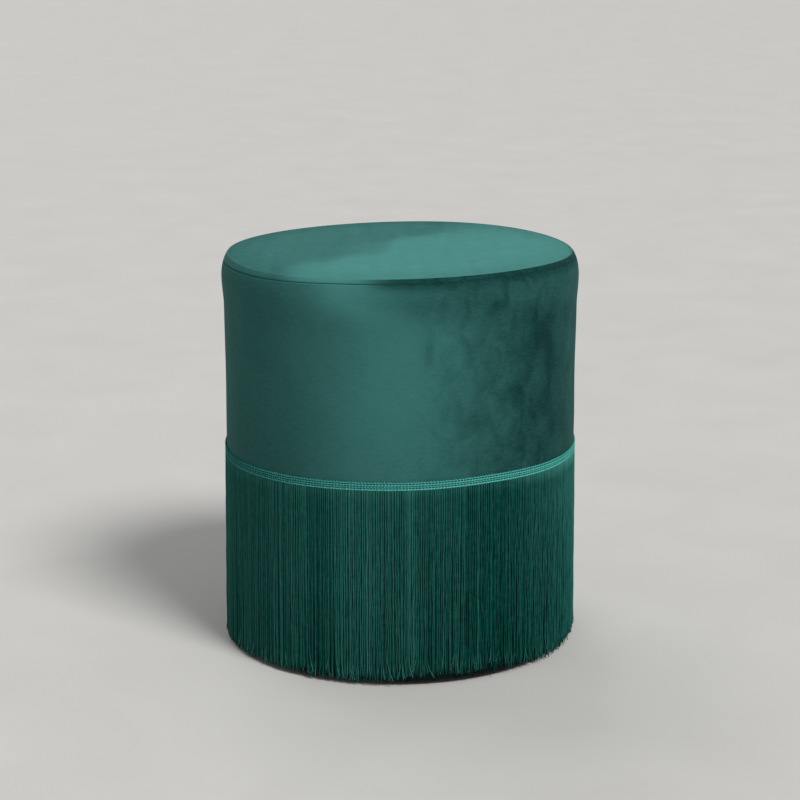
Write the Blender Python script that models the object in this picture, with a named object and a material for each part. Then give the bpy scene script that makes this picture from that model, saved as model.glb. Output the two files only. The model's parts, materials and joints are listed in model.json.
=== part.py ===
"""A round velvet accent stool with a long thread fringe, piece by piece, at its real size.

Metres, +Z up. The origin is on the floor under the middle of the seat. The frame is two boards on six
uprights inside a bent hardboard drum. Foam and velvet cover it, and the fringe hangs round its lower half.
"""

import math
from dataclasses import dataclass

import bmesh
import bpy
from mathutils import Matrix, Vector

# Overall sizes
HEIGHT = 0.422  # floor to the crown of the seat
BODY_RADIUS = 0.188  # outside of the velvet below the padded seat
CLEARANCE = 0.0003  # between pieces that lie against each other
SEGMENTS = 40  # sides of every large round piece, so that nested pieces stay parallel

# Velvet cover
VELVET = 0.0014
SEAT_SWELL = 0.0020  # how far the padded seat swells past the body
SWELL_LENGTH = 0.034  # how far down from the seat's widest ring the swell fades out
CROWN = 0.0015  # rise of the seat's middle over its rim
CROWN_FLAT_RADIUS = 0.060
SHOULDER_WIDTH = 0.012  # half axes of the ellipse that rounds the seat's edge
SHOULDER_HEIGHT = 0.026
RIM_ANGLE = math.radians(65)  # where the rim ends that ellipse
FLANGE_WIDTH = 0.0038  # the rolled edge round the seat, two layers of velvet
SEAM_GAP = 0.0005
STITCH_DROP = 0.0055  # rim to the row of top stitching, along the velvet
PAST_STITCH = 0.0035  # seam allowance left under the stitching
STITCH_THREAD = 0.0009
STITCH_GROOVE = 0.0011
HEM_WIDTH = 0.045

# Padding
SEAT_FOAM = 0.040
FOAM_EDGE_ROUND = 0.024  # width of the rounded edge of the seat foam
WADDING = 0.006
SIDE_FOAM = 0.006

# Frame
WALL = 0.003
WALL_JOINT = 0.0015  # gap where the two ends of the bent sheet meet
SEAT_BOARD = 0.012
BASE_BOARD = 0.015
UPRIGHTS = 6
UPRIGHT_WIDTH = 0.040
UPRIGHT_DEPTH = 0.022
JOINT_UPRIGHT = 1  # the drum's joint lies on this upright, at the back

# Wood screws that hold the boards to the uprights
SCREW_HEAD_RADIUS = 0.0042
SCREW_HEAD = 0.0024
SCREW_RADIUS = 0.0020
SCREW_LENGTH = 0.045
SCREW_POINT = 0.004
SCREW_SEGMENTS = 8

# Staples
STAPLE_CROWN = 0.010
STAPLE_WIRE = 0.0012
STAPLE_LEG = 0.009
HEM_STAPLES = 12
HEM_STAPLE_INSET = 0.0075  # from the base board's edge
WALL_STAPLES = 3  # in each column
WALL_STAPLE_OFFSET = 0.008  # from the joint to each column

# Under the base
DUST_COVER = 0.0006
DUST_COVER_MARGIN = 0.011  # from the outside of the velvet
GLIDES = 6
GLIDE_INSET = 0.0185  # from the base board's edge to a glide's middle
GLIDE_RADIUS = 0.0125
GLIDE_HEIGHT = 0.004
GLIDE_BEVEL = 0.001
GLIDE_SEGMENTS = 16
GLIDE_SCREW_SUNK = 0.0005  # from the glide's foot to the screw's head
GLIDE_SCREW_HEAD_RADIUS = 0.0035
GLIDE_SCREW_HEAD = 0.0018
GLIDE_SCREW_RADIUS = 0.0015
GLIDE_SCREW_LENGTH = 0.016
GLIDE_SCREW_POINT = 0.003

# Fringe
FRINGE_FLOOR_GAP = 0.009  # floor to the threads' ends, on average
FRINGE_DROP = 0.1995  # heading to the threads' ends, on average
FRINGE_FLARE = 0.003  # how far the ends stand out past the roots
FRINGE_ROOT = 0.0008  # thickness of the threads' bound top edge, behind the heading
THREAD_WIDTH = 0.0028
THREAD_GAP = 0.0011
THREAD_DEPTH = 0.0020
THREAD_UNEVENNESS = 0.0025
END_WAVES = ((2.4, 0.0, 0.5), (0.91, 1.0, 0.3))  # turn per thread, start and share of each wave of the cut ends
HEADING_HEIGHT = 0.009
HEADING_ROWS = 4
HEADING_TAPE = 0.0007
HEADING_RIDGE = 0.0005

# Steps along the curved stretches of a profile
SWELL_STEPS = 2
SHOULDER_STEPS = 2
FOLD_STEPS = 2
CROWN_STEPS = 3
FOAM_ROUND_STEPS = 4
LENGTH_STEPS = 400
MERGE_DISTANCE = 1e-6

# Heights, from the floor up
DUST_COVER_BOTTOM = GLIDE_HEIGHT + CLEARANCE
HEM_BOTTOM = DUST_COVER_BOTTOM + DUST_COVER + CLEARANCE
HEM_TOP = HEM_BOTTOM + VELVET
BASE_BOTTOM = HEM_TOP + CLEARANCE
BASE_TOP = BASE_BOTTOM + BASE_BOARD

# Heights, from the crown down
RIM = HEIGHT - CROWN
PADDING_DEPTH = VELVET + CLEARANCE  # how far the padding lies under the velvet's face
FOAM_TOP_DEPTH = PADDING_DEPTH + WADDING + CLEARANCE
FOAM_BOTTOM = HEIGHT - FOAM_TOP_DEPTH - SEAT_FOAM
SEAT_BOARD_TOP = FOAM_BOTTOM - CLEARANCE
SEAT_BOARD_BOTTOM = SEAT_BOARD_TOP - SEAT_BOARD
FULLEST = RIM - SHOULDER_HEIGHT * math.sin(RIM_ANGLE)  # height of the seat's widest ring
SWELL_START = FULLEST - SWELL_LENGTH
SWELL_HEIGHTS = [SWELL_START + SWELL_LENGTH * (i + 1) / SWELL_STEPS for i in range(SWELL_STEPS)]

# Heights of the fringe
HEADING_BOTTOM = FRINGE_FLOOR_GAP + FRINGE_DROP
HEADING_TOP = HEADING_BOTTOM + HEADING_HEIGHT

# Radii, from the outside in
FULLEST_RADIUS = BODY_RADIUS + SEAT_SWELL
WALL_OUTSIDE = BODY_RADIUS - PADDING_DEPTH - SIDE_FOAM - CLEARANCE
WALL_INSIDE = WALL_OUTSIDE - WALL
BOARD_RADIUS = WALL_INSIDE - CLEARANCE
HEM_STAPLE_RADIUS = BOARD_RADIUS - HEM_STAPLE_INSET
GLIDE_RING_RADIUS = BOARD_RADIUS - GLIDE_INSET
FACET = math.cos(math.pi / SEGMENTS)  # a round piece's flats are nearer its axis by this share
UPRIGHT_FACE = math.sqrt((WALL_INSIDE * FACET - CLEARANCE) ** 2 - (UPRIGHT_WIDTH / 2) ** 2)
UPRIGHT_RADIUS = UPRIGHT_FACE - UPRIGHT_DEPTH / 2


def ring_angles(count, first):
    """Even angles round the stool, where first is a share of the pitch."""
    return [2 * math.pi * (i + first) / count for i in range(count)]


UPRIGHT_ANGLES = ring_angles(UPRIGHTS, 0.5)
GLIDE_ANGLES = ring_angles(GLIDES, 0.0)
HEM_STAPLE_ANGLES = ring_angles(HEM_STAPLES, 0.5)
JOINT_ANGLE = UPRIGHT_ANGLES[JOINT_UPRIGHT]


# Scene and mesh helpers


def clear_scene():
    for obj in list(bpy.data.objects):
        bpy.data.objects.remove(obj)


def linear(value):
    return value / 12.92 if value <= 0.04045 else ((value + 0.055) / 1.055) ** 2.4


def finish(name, hex_colour, roughness, metallic=0.0):
    """A plain finish in an sRGB colour."""
    material = bpy.data.materials.new(name)
    material.use_nodes = True
    shader = material.node_tree.nodes["Principled BSDF"]
    channels = [int(hex_colour[i : i + 2], 16) / 255 for i in (0, 2, 4)]
    colour = [linear(channel) for channel in channels]
    shader.inputs["Base Color"].default_value = (*colour, 1.0)
    shader.inputs["Roughness"].default_value = roughness
    shader.inputs["Metallic"].default_value = metallic
    return material


def add_object(name, bm, material, sharp=40.0):
    """The mesh as a named object, with its faces pointing out and its curves shaded smooth."""
    bmesh.ops.recalc_face_normals(bm, faces=bm.faces)
    mesh = bpy.data.meshes.new(name)
    bm.to_mesh(mesh)
    bm.free()
    mesh.shade_smooth()
    mesh.set_sharp_from_angle(angle=math.radians(sharp))
    if material:
        mesh.materials.append(material)
    obj = bpy.data.objects.new(name, mesh)
    bpy.context.scene.collection.objects.link(obj)
    return obj


def spin_profile(bm, profile, steps, place=None):
    """Turns (radius, height) points about Z. The profile closes on itself unless its ends lie on the axis."""
    others = set(bm.verts)
    verts = [bm.verts.new((radius, 0.0, height)) for radius, height in profile]
    edges = [bm.edges.new(pair) for pair in zip(verts, verts[1:])]
    if profile[0][0] > 0:
        edges.append(bm.edges.new((verts[-1], verts[0])))
    turn = 2 * math.pi
    bmesh.ops.spin(bm, geom=verts + edges, axis=(0, 0, 1), angle=turn, steps=steps, use_merge=True)
    made = [v for v in bm.verts if v not in others]
    bmesh.ops.remove_doubles(bm, verts=made, dist=MERGE_DISTANCE)
    if place:
        made = [v for v in bm.verts if v not in others]
        bmesh.ops.transform(bm, matrix=place, verts=made)


def turned(name, profile, material, steps=SEGMENTS, place=None):
    bm = bmesh.new()
    spin_profile(bm, profile, steps)
    obj = add_object(name, bm, material)
    if place:
        obj.matrix_world = place
    return obj


def add_prism(bm, outline, thickness, place):
    """An outline of (x, z) points, extruded evenly to both sides of its plane."""
    near = [bm.verts.new((x, -thickness / 2, z)) for x, z in outline]
    extruded = bmesh.ops.extrude_face_region(bm, geom=[bm.faces.new(near)])
    far = [item for item in extruded["geom"] if isinstance(item, bmesh.types.BMVert)]
    bmesh.ops.translate(bm, verts=far, vec=(0, thickness, 0))
    bmesh.ops.transform(bm, matrix=place, verts=near + far)


def cutter(name, bm):
    """A shape that only cuts others."""
    obj = add_object(name, bm, None)
    obj.hide_render = True
    obj.display_type = "WIRE"
    return obj


def cut(obj, *tools):
    for tool in tools:
        modifier = obj.modifiers.new(tool.name, "BOOLEAN")
        modifier.operation = "DIFFERENCE"
        modifier.object = tool


def polar(radius, angle, height=0.0):
    return Vector((radius * math.cos(angle), radius * math.sin(angle), height))


# The meridian of the velvet's outer face


def side_radius(height):
    """Outside radius below the seat's widest ring: straight, then easing out along half a cosine."""
    share = min(1.0, (FULLEST - height) / SWELL_LENGTH)
    return BODY_RADIUS + SEAT_SWELL * 0.5 * (1 + math.cos(math.pi * share))


def side_at(height, depth=0.0):
    return (side_radius(height) - depth, height)


def shoulder_frame(angle):
    """The point and the outward normal at an angle of the ellipse that rounds the seat's edge."""
    centre = Vector((FULLEST_RADIUS - SHOULDER_WIDTH, FULLEST))
    across, up = math.cos(angle), math.sin(angle)
    normal = Vector((SHOULDER_HEIGHT * across, SHOULDER_WIDTH * up)).normalized()
    return centre + Vector((SHOULDER_WIDTH * across, SHOULDER_HEIGHT * up)), normal


def shoulder(angle, depth=0.0):
    """A point of that ellipse, or under it by a depth along its normal."""
    point, normal = shoulder_frame(angle)
    return tuple(point - depth * normal)


def shoulder_angle(drop):
    """The ellipse's angle at a length along it below the rim."""
    step = RIM_ANGLE / LENGTH_STEPS
    angle, length = RIM_ANGLE, 0.0
    while length < drop:
        length += math.dist(shoulder(angle), shoulder(angle - step))
        angle -= step
    return angle


SEAM_RADIUS = shoulder(RIM_ANGLE)[0] - FLANGE_WIDTH  # inside of the rolled edge, where the seat panel meets it
SEAT_EDGE = SEAM_RADIUS - SEAM_GAP  # where the seat panel folds down into the seam
SEAT_PADDING_EDGE = SEAT_EDGE - PADDING_DEPTH
STITCH_ANGLE = shoulder_angle(STITCH_DROP)
ALLOWANCE_END = shoulder_angle(STITCH_DROP + PAST_STITCH)


def lower_shoulder(depth=0.0):
    """Points from above the widest ring up to where the seam allowance ends."""
    return [shoulder(ALLOWANCE_END * (i + 1) / SHOULDER_STEPS, depth) for i in range(SHOULDER_STEPS)]


def seat_face(edge, depth=0.0):
    """The seat's crown from its middle to an edge: flat, then falling to the seam as a cube."""
    points = [(0.0, HEIGHT - depth)]
    for i in range(CROWN_STEPS + 1):
        radius = CROWN_FLAT_RADIUS + (edge - CROWN_FLAT_RADIUS) * i / CROWN_STEPS
        share = (radius - CROWN_FLAT_RADIUS) / (SEAT_EDGE - CROWN_FLAT_RADIUS)
        points.append((radius, HEIGHT - CROWN * share**3 - depth))
    return points


# Fasteners


@dataclass
class Screw:
    """A screw's sizes. Its head's outer face is at the origin, and it points down."""

    head_radius: float
    head: float
    radius: float
    length: float
    point: float
    countersunk: bool

    def profile(self):
        under_head = [] if self.countersunk else [(self.head_radius, -self.head)]
        return [
            (0.0, 0.0),
            (self.head_radius, 0.0),
            *under_head,
            (self.radius, -self.head),
            (self.radius, self.point - self.length),
            (0.0, -self.length),
        ]

    def hole(self, mouth):
        """The same shape, larger all round by the clearance and open above the head."""
        wide = self.head_radius + CLEARANCE
        narrow = self.radius + CLEARANCE
        under_head = -self.head - CLEARANCE
        return [
            (0.0, mouth),
            (wide, mouth),
            (wide, -CLEARANCE if self.countersunk else under_head),
            (narrow, under_head),
            (narrow, self.point - self.length),
            (0.0, -self.length - CLEARANCE),
        ]


WOOD_SCREW = Screw(SCREW_HEAD_RADIUS, SCREW_HEAD, SCREW_RADIUS, SCREW_LENGTH, SCREW_POINT, True)
GLIDE_SCREW = Screw(
    GLIDE_SCREW_HEAD_RADIUS,
    GLIDE_SCREW_HEAD,
    GLIDE_SCREW_RADIUS,
    GLIDE_SCREW_LENGTH,
    GLIDE_SCREW_POINT,
    False,
)
POINTING_UP = Matrix.Rotation(math.pi, 4, "X")


def seat_screw_place(angle):
    return Matrix.Translation(polar(UPRIGHT_RADIUS, angle, SEAT_BOARD_TOP - CLEARANCE))


def base_screw_place(angle):
    return Matrix.Translation(polar(UPRIGHT_RADIUS, angle, BASE_BOTTOM + CLEARANCE)) @ POINTING_UP


def glide_screw_place(angle):
    return Matrix.Translation(polar(GLIDE_RING_RADIUS, angle, GLIDE_SCREW_SUNK)) @ POINTING_UP


SEAT_SCREW_PLACES = [seat_screw_place(angle) for angle in UPRIGHT_ANGLES]
BASE_SCREW_PLACES = [base_screw_place(angle) for angle in UPRIGHT_ANGLES]
GLIDE_SCREW_PLACES = [glide_screw_place(angle) for angle in GLIDE_ANGLES]


def staple_outline(grow=0.0, mouth=0.0):
    """A staple's U: its crown's outer face on z = 0, its legs along +z. A hole for it grows and opens outward."""
    outer = STAPLE_CROWN / 2 + grow
    inner = STAPLE_CROWN / 2 - STAPLE_WIRE - grow
    crown = STAPLE_WIRE + grow
    end = STAPLE_LEG + grow
    right = [(outer, -mouth), (outer, end), (inner, end), (inner, crown)]
    left = [(-x, z) for x, z in reversed(right)]
    return right + left


def axes_matrix(along, across, into, origin):
    matrix = Matrix((along, across, into)).transposed().to_4x4()
    matrix.translation = origin
    return matrix


def hem_staple_place(angle):
    """Crown along the edge, just under the dust cover, legs up into the base board."""
    tangent = Vector((-math.sin(angle), math.cos(angle), 0))
    crown = DUST_COVER_BOTTOM - 2 * CLEARANCE - STAPLE_WIRE
    origin = polar(HEM_STAPLE_RADIUS, angle, crown)
    return axes_matrix(tangent, -polar(1, angle), Vector((0, 0, 1)), origin)


def wall_staple_place(side, number):
    """Crown upright beside the drum's joint, sunk flush in the sheet, legs into the upright behind it."""
    outward = polar(1, JOINT_ANGLE)
    across = polar(1, JOINT_ANGLE - math.pi / 2)
    height = BASE_TOP + (SEAT_BOARD_BOTTOM - BASE_TOP) * (number + 0.5) / WALL_STAPLES
    sunk = outward * (WALL_OUTSIDE * FACET - CLEARANCE)
    origin = sunk + across * (side * WALL_STAPLE_OFFSET) + Vector((0, 0, height))
    return axes_matrix(Vector((0, 0, 1)), across, -outward, origin)


HEM_STAPLE_PLACES = [hem_staple_place(angle) for angle in HEM_STAPLE_ANGLES]
WALL_STAPLE_PLACES = [wall_staple_place(side, i) for side in (-1, 1) for i in range(WALL_STAPLES)]


def screw_holes(name, screw, places, mouth):
    bm = bmesh.new()
    for place in places:
        spin_profile(bm, screw.hole(mouth), SCREW_SEGMENTS, place)
    return cutter(name, bm)


def staple_holes(name, places):
    bm = bmesh.new()
    for place in places:
        add_prism(bm, staple_outline(CLEARANCE, STAPLE_WIRE), STAPLE_WIRE + 2 * CLEARANCE, place)
    return cutter(name, bm)


def joint_gap(name):
    """The narrow slot between the two ends of the drum's sheet."""
    bm = bmesh.new()
    half = WALL_JOINT / 2
    outline = [(-half, 0.0), (half, 0.0), (half, HEIGHT), (-half, HEIGHT)]
    turn = Matrix.Rotation(JOINT_ANGLE - math.pi / 2, 4, "Z")
    add_prism(bm, outline, 3 * WALL, turn @ Matrix.Translation((0, (WALL_INSIDE + WALL_OUTSIDE) / 2, 0)))
    return cutter(name, bm)


# Sub-parts


def disc(radius, bottom, top):
    return [(0.0, top), (radius, top), (radius, bottom), (0.0, bottom)]


def tube(inside, outside, bottom, top):
    return [(inside, top), (outside, top), (outside, bottom), (inside, bottom)]


def build_boards(plywood, seat_holes, base_holes):
    seat_board = turned("seat_board", disc(BOARD_RADIUS, SEAT_BOARD_BOTTOM, SEAT_BOARD_TOP), plywood)
    cut(seat_board, *seat_holes)
    base_board = turned("base_board", disc(BOARD_RADIUS, BASE_BOTTOM, BASE_TOP), plywood)
    cut(base_board, *base_holes)


def build_uprights(pine, screw_tools, staple_tool):
    """The battens between the boards. The one behind the drum's joint takes its staples."""
    low, high = BASE_TOP + CLEARANCE, SEAT_BOARD_BOTTOM - CLEARANCE
    half = UPRIGHT_WIDTH / 2
    outline = [(-half, low), (half, low), (half, high), (-half, high)]
    for number, angle in enumerate(UPRIGHT_ANGLES):
        bm = bmesh.new()
        turn = Matrix.Rotation(angle - math.pi / 2, 4, "Z")
        add_prism(bm, outline, UPRIGHT_DEPTH, turn @ Matrix.Translation((0, UPRIGHT_RADIUS, 0)))
        upright = add_object(f"upright_{number + 1}", bm, pine)
        cut(upright, *screw_tools)
        if number == JOINT_UPRIGHT:
            cut(upright, staple_tool)


def build_wall(hardboard, tools):
    """The sheet bent round the boards."""
    wall = turned("drum_wall", tube(WALL_INSIDE, WALL_OUTSIDE, BASE_BOTTOM, SEAT_BOARD_TOP), hardboard)
    cut(wall, *tools)


def build_screws(name, screw, places, steel):
    for number, place in enumerate(places, 1):
        turned(f"{name}_{number}", screw.profile(), steel, SCREW_SEGMENTS, place)


def build_staples(name, places, steel):
    for number, place in enumerate(places, 1):
        bm = bmesh.new()
        add_prism(bm, staple_outline(), STAPLE_WIRE, place)
        add_object(f"{name}_{number}", bm, steel)


def build_seat_foam(foam):
    """The cushion: crowned, with a rounded edge set back to leave room for the seam allowance."""
    outside = FULLEST_RADIUS - PADDING_DEPTH - 2 * VELVET
    round_start = outside - FOAM_EDGE_ROUND
    profile = seat_face(round_start, FOAM_TOP_DEPTH)
    round_height = profile[-1][1] - FULLEST
    for i in range(1, FOAM_ROUND_STEPS + 1):
        angle = 0.5 * math.pi * (1 - i / FOAM_ROUND_STEPS)
        radius = round_start + FOAM_EDGE_ROUND * math.cos(angle)
        profile.append((radius, FULLEST + round_height * math.sin(angle)))
    turned("seat_foam", [*profile, side_at(FOAM_BOTTOM, PADDING_DEPTH), (0.0, FOAM_BOTTOM)], foam)


def build_wadding(fibre):
    """An even layer between the foam and the seat panel."""
    top = seat_face(SEAT_PADDING_EDGE, PADDING_DEPTH)
    bottom = seat_face(SEAT_PADDING_EDGE, PADDING_DEPTH + WADDING)
    turned("seat_wadding", [*top, *reversed(bottom)], fibre)


def build_side_foam(foam):
    """Thin foam round the drum, filling out under the swell of the seat."""
    inside = WALL_OUTSIDE + CLEARANCE
    heights = [SEAT_BOARD_TOP]
    heights += [height for height in (*reversed(SWELL_HEIGHTS), SWELL_START) if height < SEAT_BOARD_TOP]
    heights.append(BASE_BOTTOM)
    outer = [side_at(height, PADDING_DEPTH) for height in heights]
    turned("side_foam", [(inside, SEAT_BOARD_TOP), *outer, (inside, BASE_BOTTOM)], foam)


def build_top_panel(velvet):
    """The seat's crowned face, folded down at the seam into an allowance under the side panel."""
    allowance = [
        shoulder(ALLOWANCE_END, 2 * VELVET + CLEARANCE),
        shoulder(ALLOWANCE_END, 3 * VELVET + CLEARANCE),
    ]
    under = reversed(seat_face(SEAT_EDGE - VELVET, VELVET))
    turned("velvet_top_panel", [*seat_face(SEAT_EDGE), *allowance, *under], velvet)


def build_side_panel(velvet, tools):
    """The strip round the drum: doubled at the rim, grooved by its stitching, turned under at the hem."""
    hem_edge = BODY_RADIUS - HEM_WIDTH
    corner = (BODY_RADIUS - VELVET, HEM_TOP)
    turns = [0.5 * math.pi * (1 - i / FOLD_STEPS) for i in range(FOLD_STEPS + 1)]
    fold = [(corner[0] + VELVET * math.cos(turn), corner[1] - VELVET * math.sin(turn)) for turn in turns]
    groove = [
        shoulder(shoulder_angle(STITCH_DROP + STITCH_GROOVE)),
        shoulder(STITCH_ANGLE, STITCH_GROOVE),
        shoulder(shoulder_angle(STITCH_DROP - STITCH_GROOVE)),
    ]
    outer = [side_at(height) for height in (SWELL_START, *SWELL_HEIGHTS)]
    outer += [*lower_shoulder(), *groove, shoulder(RIM_ANGLE)]
    flange = [(SEAM_RADIUS, RIM), shoulder(ALLOWANCE_END, 2 * VELVET)]
    inner = [*reversed(lower_shoulder(VELVET))]
    inner += [side_at(height, VELVET) for height in (*reversed(SWELL_HEIGHTS), SWELL_START)]
    hem = [corner, (hem_edge, HEM_TOP), (hem_edge, HEM_BOTTOM)]
    panel = turned("velvet_side_panel", [*fold, *outer, *flange, *inner, *hem], velvet)
    cut(panel, *tools)


def build_top_stitch(thread):
    """The row of stitches, as a thread of square section that lies in its groove corner down."""
    half_diagonal = STITCH_THREAD / math.sqrt(2)
    point, normal = shoulder_frame(STITCH_ANGLE)
    centre = point - normal * (STITCH_GROOVE - CLEARANCE * math.sqrt(2) - half_diagonal)
    along = Vector((-normal.y, normal.x))
    corners = [centre + half_diagonal * way for way in (normal, along, -normal, -along)]
    turned("top_stitch", [tuple(corner) for corner in corners], thread)


def build_dust_cover(cloth, tools):
    radius = BODY_RADIUS - DUST_COVER_MARGIN
    cover = turned("dust_cover", disc(radius, DUST_COVER_BOTTOM, DUST_COVER_BOTTOM + DUST_COVER), cloth)
    cut(cover, *tools)


def build_glides(plastic, tool):
    """The feet that the stool stands on."""
    profile = [
        (0.0, GLIDE_HEIGHT),
        (GLIDE_RADIUS, GLIDE_HEIGHT),
        (GLIDE_RADIUS, GLIDE_BEVEL),
        (GLIDE_RADIUS - GLIDE_BEVEL, 0.0),
        (0.0, 0.0),
    ]
    for number, angle in enumerate(GLIDE_ANGLES, 1):
        place = Matrix.Translation(polar(GLIDE_RING_RADIUS, angle))
        glide = turned(f"glide_{number}", profile, plastic, GLIDE_SEGMENTS, place)
        cut(glide, tool)


# Fringe radii, from the velvet it lies on outward

ROOT_INSIDE = side_radius(HEADING_TOP) + CLEARANCE
ROOT_OUTSIDE = ROOT_INSIDE + FRINGE_ROOT
TIP_OUTSIDE = ROOT_OUTSIDE + FRINGE_FLARE
HEADING_INSIDE = ROOT_OUTSIDE / FACET + CLEARANCE
HEADING_OUTSIDE = HEADING_INSIDE + HEADING_TAPE


def build_heading(yarn):
    """The woven band over the threads' roots: a tape with a ridge for each row of stitches."""
    row = HEADING_HEIGHT / HEADING_ROWS
    profile = [(HEADING_INSIDE, HEADING_TOP), (HEADING_OUTSIDE, HEADING_TOP)]
    for i in range(HEADING_ROWS):
        profile.append((HEADING_OUTSIDE + HEADING_RIDGE, HEADING_TOP - (i + 0.5) * row))
        profile.append((HEADING_OUTSIDE, HEADING_TOP - (i + 1) * row))
    turned("fringe_heading", [*profile, (HEADING_INSIDE, HEADING_BOTTOM)], yarn)


def thread_end(number):
    """Height of a thread's cut end: waves out of step make it uneven, as a trimmed fringe is."""
    wave = sum(share * math.sin(turn * number + start) for turn, start, share in END_WAVES)
    return FRINGE_FLOOR_GAP + THREAD_UNEVENNESS * wave


def build_threads(yarn):
    """Threads of three-sided section, hanging from the underside of a ring that is their bound top edge."""
    bm = bmesh.new()
    count = round(2 * math.pi * ROOT_OUTSIDE / (THREAD_WIDTH + THREAD_GAP))
    half = 0.5 * THREAD_WIDTH / ROOT_OUTSIDE

    def triangle(angle, inside, outside, height):
        corners = ((outside, angle - half), (outside, angle + half), (inside, angle))
        return [bm.verts.new(polar(radius, turn, height)) for radius, turn in corners]

    tops, roots, tips = [], [], []
    for number, angle in enumerate(ring_angles(count, 0.0)):
        tops.append([bm.verts.new(polar(radius, angle, HEADING_TOP)) for radius in (ROOT_INSIDE, ROOT_OUTSIDE)])
        roots.append(triangle(angle, ROOT_INSIDE, ROOT_OUTSIDE, HEADING_BOTTOM))
        tips.append(triangle(angle, TIP_OUTSIDE - THREAD_DEPTH, TIP_OUTSIDE, thread_end(number)))
    for number in range(count):
        beside = (number + 1) % count
        inner_top, outer_top = tops[number]
        next_inner_top, next_outer_top = tops[beside]
        left, right, middle = roots[number]
        next_left, _, next_middle = roots[beside]
        bm.faces.new((inner_top, outer_top, next_outer_top, next_inner_top))
        bm.faces.new((outer_top, left, right, next_left, next_outer_top))
        bm.faces.new((inner_top, middle, next_middle, next_inner_top))
        bm.faces.new((middle, right, next_left, next_middle))
        for i in range(3):
            j = (i + 1) % 3
            bm.faces.new((roots[number][i], roots[number][j], tips[number][j], tips[number][i]))
        bm.faces.new(tips[number])
    add_object("fringe_threads", bm, yarn, sharp=30.0)


def main():
    clear_scene()
    velvet = finish("green_velvet", "1f5a4e", 0.75)
    yarn = finish("green_fringe_yarn", "164a3e", 0.6)
    braid = finish("green_braid_yarn", "2f8a76", 0.6)
    thread = finish("green_sewing_thread", "17463b", 0.6)
    plywood = finish("plywood", "c9a777", 0.6)
    pine = finish("pine", "dcbf8f", 0.6)
    hardboard = finish("hardboard", "7a5a3c", 0.7)
    foam = finish("polyurethane_foam", "e8dfc4", 0.9)
    fibre = finish("polyester_wadding", "eeeeea", 0.95)
    cloth = finish("black_spunbond_cloth", "17181a", 0.9)
    plastic = finish("black_plastic", "141414", 0.5)
    steel = finish("zinc_plated_steel", "b9bcc0", 0.35, 1.0)

    seat_screws = screw_holes("seat_screw_holes", WOOD_SCREW, SEAT_SCREW_PLACES, SCREW_HEAD)
    base_screws = screw_holes("base_screw_holes", WOOD_SCREW, BASE_SCREW_PLACES, SCREW_HEAD)
    glide_screws = screw_holes("glide_screw_holes", GLIDE_SCREW, GLIDE_SCREW_PLACES, GLIDE_HEIGHT)
    hem_staples = staple_holes("hem_staple_holes", HEM_STAPLE_PLACES)
    wall_staples = staple_holes("wall_staple_holes", WALL_STAPLE_PLACES)
    wall_joint = joint_gap("wall_joint_gap")

    build_boards(plywood, [seat_screws], [base_screws, glide_screws, hem_staples])
    build_uprights(pine, [seat_screws, base_screws], wall_staples)
    build_wall(hardboard, [wall_joint, wall_staples])
    build_screws("seat_board_screw", WOOD_SCREW, SEAT_SCREW_PLACES, steel)
    build_screws("base_board_screw", WOOD_SCREW, BASE_SCREW_PLACES, steel)
    build_screws("glide_screw", GLIDE_SCREW, GLIDE_SCREW_PLACES, steel)
    build_staples("hem_staple", HEM_STAPLE_PLACES, steel)
    build_staples("drum_wall_staple", WALL_STAPLE_PLACES, steel)
    build_seat_foam(foam)
    build_wadding(fibre)
    build_side_foam(foam)
    build_top_panel(velvet)
    build_side_panel(velvet, [glide_screws, hem_staples])
    build_top_stitch(thread)
    build_dust_cover(cloth, [glide_screws, hem_staples])
    build_glides(plastic, glide_screws)
    build_heading(braid)
    build_threads(yarn)


main()
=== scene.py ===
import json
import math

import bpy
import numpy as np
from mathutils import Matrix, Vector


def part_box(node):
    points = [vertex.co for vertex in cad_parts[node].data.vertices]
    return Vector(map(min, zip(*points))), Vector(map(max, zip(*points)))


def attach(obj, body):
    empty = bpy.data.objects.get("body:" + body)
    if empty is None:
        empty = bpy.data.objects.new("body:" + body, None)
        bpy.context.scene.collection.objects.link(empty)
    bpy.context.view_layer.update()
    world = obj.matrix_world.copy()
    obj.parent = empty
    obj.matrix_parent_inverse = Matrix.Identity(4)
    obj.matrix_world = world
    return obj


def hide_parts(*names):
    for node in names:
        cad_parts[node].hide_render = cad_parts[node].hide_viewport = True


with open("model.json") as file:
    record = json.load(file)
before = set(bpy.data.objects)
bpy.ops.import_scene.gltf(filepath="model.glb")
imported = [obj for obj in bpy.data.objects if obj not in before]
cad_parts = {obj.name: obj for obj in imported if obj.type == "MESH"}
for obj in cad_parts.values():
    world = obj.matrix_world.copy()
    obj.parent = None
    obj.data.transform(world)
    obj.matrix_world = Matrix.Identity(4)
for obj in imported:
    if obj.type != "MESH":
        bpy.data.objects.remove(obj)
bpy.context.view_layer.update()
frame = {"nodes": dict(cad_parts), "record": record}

# The looks of a round velvet stool with a long thread fringe, in metres, +Z up, front towards -Y.
# Angles round the stool run from the front towards the right, against the clock seen from above. Among the
# values below they are in degrees, unless something else is said.
# A hump is a bell curve round the stool: its angle, its width and how much it adds.
# A wave is a sine round the stool: how many there are, their start in radians and their height.
# A ripple is noise: the most waves round the stool, the most per metre upward, and how many are summed.
# A pair under a name with FROM, TO or REACH holds two values: where a change begins and where it is complete.

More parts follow.
